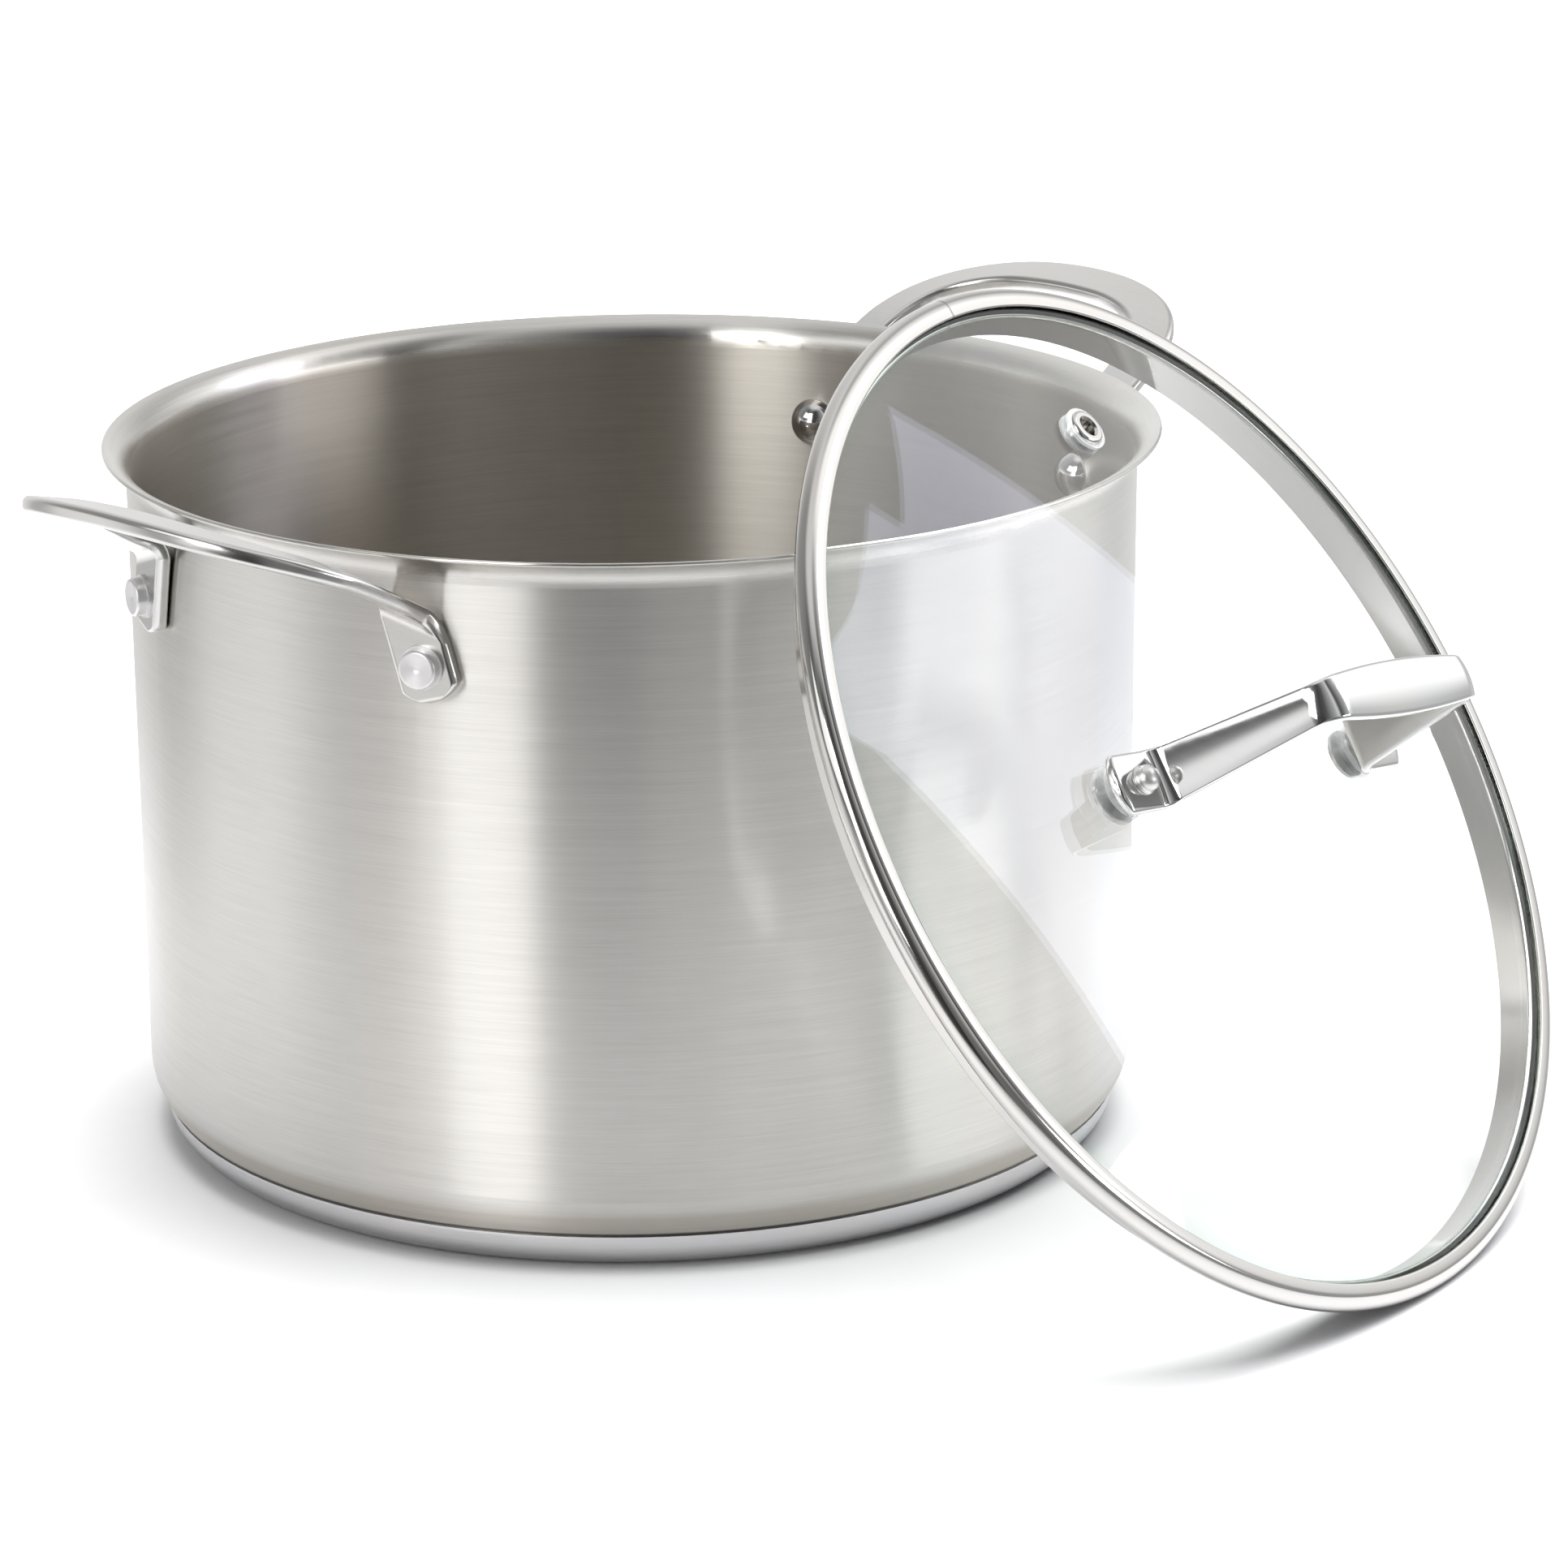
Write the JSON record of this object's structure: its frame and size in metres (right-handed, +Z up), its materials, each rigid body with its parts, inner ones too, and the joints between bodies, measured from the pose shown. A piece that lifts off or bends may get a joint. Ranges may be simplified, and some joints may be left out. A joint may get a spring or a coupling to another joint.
{
  "type": "stock pot with lid",
  "caption": "Tall straight-sided steel pot with a flared rim, capped base and riveted loop handles; its domed glass lid with a strap handle leans on the rim.",
  "frame": {"origin": "middle of the underside of the base, on the table", "axes": "+Z up along the pot's axis; the loop handles lie along X; the lid leans on the rim at -Y"},
  "size_m": [0.3392, 0.3555, 0.2138],
  "materials": {
    "brushed_shell": "brushed round the pot, satin",
    "satin_base": "satin",
    "core": "bare",
    "handle_steel": "satin faces, polished edges",
    "rivet_steel": "satin outside, polished inside the pot",
    "polished_rim": "polished",
    "polished_strap": "mirror polished",
    "polished_small": "polished",
    "clear_silicone": "translucent",
    "glass": "clear tempered glass"
  },
  "bodies": {
    "pot": {"pot_body": "brushed_shell", "base_core": "core", "base_cap": "satin_base", "handle_left": "handle_steel", "handle_right": "handle_steel", "handle_rivet_right_front": "rivet_steel", "handle_rivet_right_back": "rivet_steel", "handle_rivet_left_back": "rivet_steel", "handle_rivet_left_front": "rivet_steel"},
    "lid": {"lid_glass": "glass", "lid_rim": "polished_rim", "lid_handle": "polished_strap", "vent_eyelet": "polished_small", "vent_seal": "clear_silicone", "lid_pad_near": "clear_silicone", "lid_seal_near": "clear_silicone", "lid_washer_near": "polished_small", "lid_rivet_near": "polished_small", "lid_pad_far": "clear_silicone", "lid_seal_far": "clear_silicone", "lid_washer_far": "polished_small", "lid_rivet_far": "polished_small"}
  },
  "joints": [
    {"name": "lid_lift", "type": "slide", "parent": "pot", "child": "lid", "axis": [0.1475, -0.8282, 0.5407], "range_m": [0, 0.25]}
  ]
}
